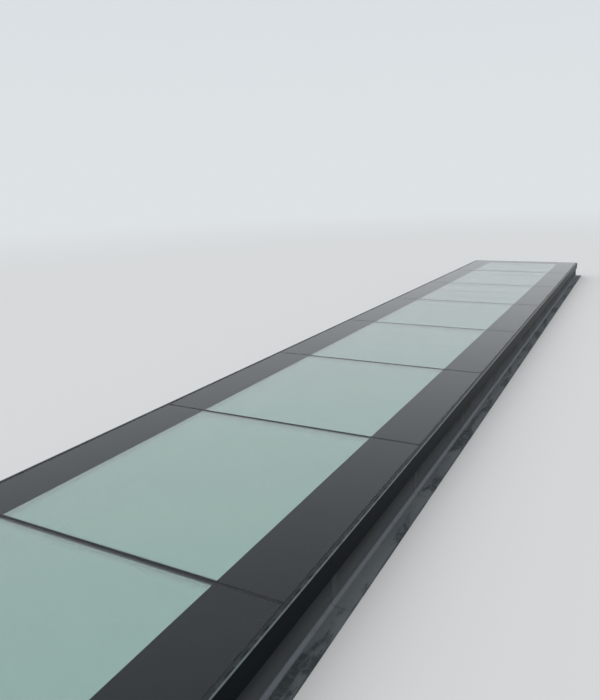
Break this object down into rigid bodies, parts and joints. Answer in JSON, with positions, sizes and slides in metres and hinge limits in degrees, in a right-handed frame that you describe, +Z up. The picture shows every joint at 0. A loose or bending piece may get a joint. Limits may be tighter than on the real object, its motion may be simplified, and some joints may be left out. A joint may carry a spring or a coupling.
{
  "type": "roof skylight",
  "caption": "Long flat linked rooflight: flush double-glazed panes with dark enamel side bands, black silicone joints, grey metal frame and fascia, on a membrane-dressed roof kerb.",
  "frame": {"origin": "centre of the rooflight in plan, at the roof deck under the membrane flange", "axes": "+X across the rooflight, +Y along its length, +Z up out of the roof; the rest face is -Z"},
  "size_m": [2.01, 12.884, 0.245],
  "materials": {
    "outer_glass": "polished, pale green tint",
    "inner_glass": "polished, laminated",
    "dark_enamel": "fired dark blue-grey enamel behind glass",
    "frame_paint": "satin powder coat, dark grey",
    "ledge_aluminium": "satin powder coat, dark grey",
    "bar_paint": "satin powder coat, pale grey",
    "bracket_aluminium": "mill finish",
    "screw_steel": "zinc plated",
    "black_silicone": "satin",
    "foam_tape": "matt pale grey foam",
    "spacer_bar": "black warm-edge spacer",
    "break_plastic": "glass-filled plastic",
    "packer_plastic": "moulded blue",
    "plywood": "unfinished board",
    "timber": "sawn softwood",
    "lining_paint": "painted white, matt",
    "insulation_board": "rigid foam board",
    "membrane": "matt roofing sheet, weathered"
  },
  "bodies": {
    "root": {"air_seals": "foam_tape", "bar_brackets": "bracket_aluminium", "bar_rails": "timber", "bedding_beads": "black_silicone", "cant_strips": "timber", "corner_cleats": "bracket_aluminium", "corner_patches": "membrane", "edge_insulation": "insulation_board", "edge_seals": "black_silicone", "enamel_bands": "dark_enamel", "end_frame_far": "frame_paint", "end_frame_near": "frame_paint", "end_ledge_far": "ledge_aluminium", "end_ledge_near": "ledge_aluminium", "foam_rods": "foam_tape", "frame_brackets": "bracket_aluminium", "glazing_bar_1": "bar_paint", "glazing_bar_2": "bar_paint", "glazing_bar_3": "bar_paint", "glazing_bar_4": "bar_paint", "glazing_bar_5": "bar_paint", "glazing_bar_6": "bar_paint", "glazing_bar_7": "bar_paint", "glazing_tapes": "foam_tape", "inner_lite_1": "inner_glass", "inner_lite_2": "inner_glass", "inner_lite_3": "inner_glass", "inner_lite_4": "inner_glass", "inner_lite_5": "inner_glass", "inner_lite_6": "inner_glass", "inner_lite_7": "inner_glass", "inner_lite_8": "inner_glass", "joint_seals": "black_silicone", "kerb_boards": "plywood", "kerb_insulation": "insulation_board", "location_packers": "packer_plastic", "membrane_flanges": "membrane", "membrane_upstands": "membrane", "outer_lite_1": "outer_glass", "outer_lite_2": "outer_glass", "outer_lite_3": "outer_glass", "outer_lite_4": "outer_glass", "outer_lite_5": "outer_glass", "outer_lite_6": "outer_glass", "outer_lite_7": "outer_glass", "outer_lite_8": "outer_glass", "perimeter_seals": "black_silicone", "reveal_linings": "lining_paint", "screw_heads": "screw_steel", "side_frame_left": "frame_paint", "side_frame_right": "frame_paint", "side_ledge_left": "ledge_aluminium", "side_ledge_right": "ledge_aluminium", "sole_plates": "timber", "spacer_frames": "spacer_bar", "thermal_break_strips": "break_plastic", "top_plates": "timber"}
  },
  "joints": []
}
